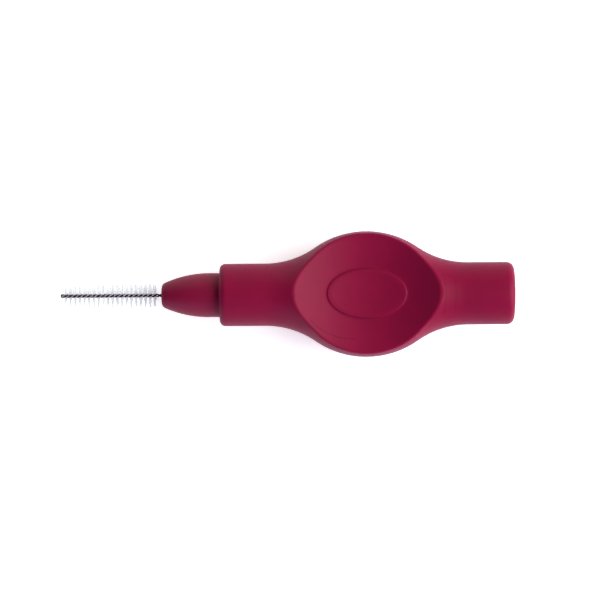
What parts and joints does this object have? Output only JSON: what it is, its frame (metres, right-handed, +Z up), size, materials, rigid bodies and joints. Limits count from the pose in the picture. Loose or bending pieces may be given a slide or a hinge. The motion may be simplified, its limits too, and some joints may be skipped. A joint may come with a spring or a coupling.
{
  "type": "interdental brush",
  "caption": "Small interdental brush: nylon filaments in a twisted wire, a bullet-shaped holder and a soft flexible handle with a dished thumb disc.",
  "frame": {"origin": "on the surface the brush lies on, under the middle of its length", "axes": "+X from the brush tip to the tail, +Z up out of the upper thumb dish, +Y across the handle"},
  "size_m": [0.0544, 0.0151, 0.0085],
  "materials": {
    "soft_elastomer": "satin moulded",
    "rigid_plastic": "satin moulded",
    "coated_wire": "thin plastic coating",
    "nylon_filament": "translucent"
  },
  "bodies": {
    "grip": {"handle": "soft_elastomer"},
    "head": {"brush_holder": "rigid_plastic", "tuft_20": "nylon_filament"},
    "stem": {"twisted_wire": "coated_wire", "tuft_01": "nylon_filament", "tuft_02": "nylon_filament", "tuft_03": "nylon_filament", "tuft_04": "nylon_filament", "tuft_05": "nylon_filament", "tuft_06": "nylon_filament", "tuft_07": "nylon_filament", "tuft_08": "nylon_filament", "tuft_09": "nylon_filament", "tuft_10": "nylon_filament", "tuft_11": "nylon_filament", "tuft_12": "nylon_filament", "tuft_13": "nylon_filament", "tuft_14": "nylon_filament", "tuft_15": "nylon_filament", "tuft_16": "nylon_filament", "tuft_17": "nylon_filament", "tuft_18": "nylon_filament", "tuft_19": "nylon_filament"}
  },
  "joints": [
    {"name": "neck_flex", "type": "hinge", "parent": "grip", "child": "head", "pos_m": [-0.002, 0, 0.00423], "axis": [0, 1, 0], "range_deg": [-30, 30], "stiffness_Nm_per_rad": 0.18, "deforming": ["handle"]},
    {"name": "wire_bend", "type": "hinge", "parent": "head", "child": "stem", "pos_m": [-0.01625, 0, 0.00423], "axis": [0, 1, 0], "range_deg": [-30, 30], "deforming": ["twisted_wire"]}
  ]
}
